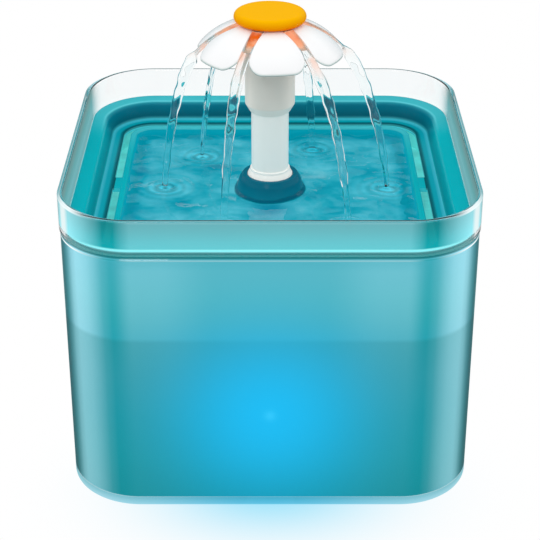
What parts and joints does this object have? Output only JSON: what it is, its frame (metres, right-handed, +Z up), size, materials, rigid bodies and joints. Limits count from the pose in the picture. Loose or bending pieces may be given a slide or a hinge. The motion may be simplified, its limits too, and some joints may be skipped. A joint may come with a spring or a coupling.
{
  "type": "pet water fountain",
  "caption": "Square clear-walled pet drinking fountain with a lift-out tray, filter, lit submersible pump and a flower spout.",
  "frame": {"origin": "centre of the base, on the surface the fountain stands on", "axes": "+Z up along the riser, the front faces -Y, +X to the right seen from the front"},
  "size_m": [0.165, 0.1659, 0.1836],
  "materials": {
    "clear_plastic": "clear, polished",
    "liner_plastic": "translucent teal, glossy",
    "teal_plastic": "glossy teal",
    "case_plastic": "milky, semi-gloss",
    "foam": "open-cell foam",
    "carbon": "bagged granules",
    "cotton": "matted fibre",
    "white_plastic": "semi-gloss white",
    "petal_plastic": "glossy white",
    "orange_plastic": "glossy orange",
    "yellow_plastic": "glossy yellow",
    "pump_plastic": "dark, fine grain",
    "silicone": "milky silicone",
    "black_rubber": "matt",
    "core_steel": "stacked sheets",
    "copper_wire": "enamelled wire",
    "circuit_board": "solder mask",
    "window_plastic": "clear",
    "ceramic": "ground ceramic",
    "rotor_plastic": "natural",
    "magnet": "sintered ferrite"
  },
  "bodies": {
    "tank": {"clear_floor": "clear_plastic", "clear_walls": "clear_plastic", "clear_corners": "clear_plastic", "liner_floor": "liner_plastic", "liner_walls": "liner_plastic", "liner_corners": "liner_plastic", "cable_grommet": "black_rubber"},
    "tray": {"drinking_tray": "teal_plastic", "tray_sides": "teal_plastic", "tray_corners": "teal_plastic", "tray_boss": "teal_plastic"},
    "filter": {"filter_case": "case_plastic", "case_sides": "case_plastic", "case_corners": "case_plastic", "filter_foam": "foam", "filter_carbon": "carbon", "filter_cotton": "cotton"},
    "riser": {"riser_tube": "white_plastic"},
    "sleeve": {"flower_sleeve": "white_plastic"},
    "spreader": {"orange_spreader": "orange_plastic"},
    "blossom": {"flower_petals": "petal_plastic"},
    "cap": {"flower_cap": "yellow_plastic"},
    "pump": {"pump_housing": "pump_plastic", "volute_cover": "pump_plastic", "motor_end_cover": "pump_plastic", "outlet_connector": "silicone", "suction_cups": "silicone", "stator_core": "core_steel", "coil_bobbin": "white_plastic", "coil_winding": "copper_wire", "driver_board": "circuit_board", "led_board": "circuit_board", "led_window": "window_plastic", "pump_cable_gland": "black_rubber", "rotor_shaft": "ceramic", "rear_shaft_bush": "black_rubber", "front_shaft_bush": "black_rubber"},
    "rotor": {"impeller": "rotor_plastic", "rotor_magnet": "magnet"},
    "intake": {"intake_cover": "pump_plastic", "intake_sponge": "foam"},
    "regulator": {"flow_regulator": "rotor_plastic"}
  },
  "joints": [
    {"name": "tray_lift", "type": "slide", "parent": "tank", "child": "tray", "axis": [0, 0, 1], "range_m": [0, 0.06]},
    {"name": "filter_pull", "type": "slide", "parent": "tray", "child": "filter", "axis": [0, 0, -1], "range_m": [0, 0.018]},
    {"name": "riser_lift", "type": "slide", "parent": "tray", "child": "riser", "axis": [0, 0, 1], "range_m": [0, 0.045]},
    {"name": "flower_turn", "type": "hinge", "parent": "riser", "child": "sleeve", "pos_m": [0, 0, 0.164], "axis": [0, 0, 1], "continuous": true},
    {"name": "spreader_lift", "type": "slide", "parent": "sleeve", "child": "spreader", "axis": [0, 0, 1], "range_m": [0, 0.02]},
    {"name": "petals_lift", "type": "slide", "parent": "spreader", "child": "blossom", "axis": [0, 0, 1], "range_m": [0, 0.02]},
    {"name": "cap_lift", "type": "slide", "parent": "blossom", "child": "cap", "axis": [0, 0, 1], "range_m": [0, 0.02]},
    {"name": "pump_lift", "type": "slide", "parent": "tank", "child": "pump", "axis": [0, 0, 1], "range_m": [0, 0.009]},
    {"name": "rotor_spin", "type": "hinge", "parent": "pump", "child": "rotor", "pos_m": [0, 0, 0.028], "axis": [1, 0, 0], "continuous": true},
    {"name": "intake_pull", "type": "slide", "parent": "pump", "child": "intake", "axis": [1, 0, 0], "range_m": [0, 0.03]},
    {"name": "regulator_slide", "type": "slide", "parent": "intake", "child": "regulator", "axis": [0, 0, 1], "range_m": [0, 0.008]}
  ]
}
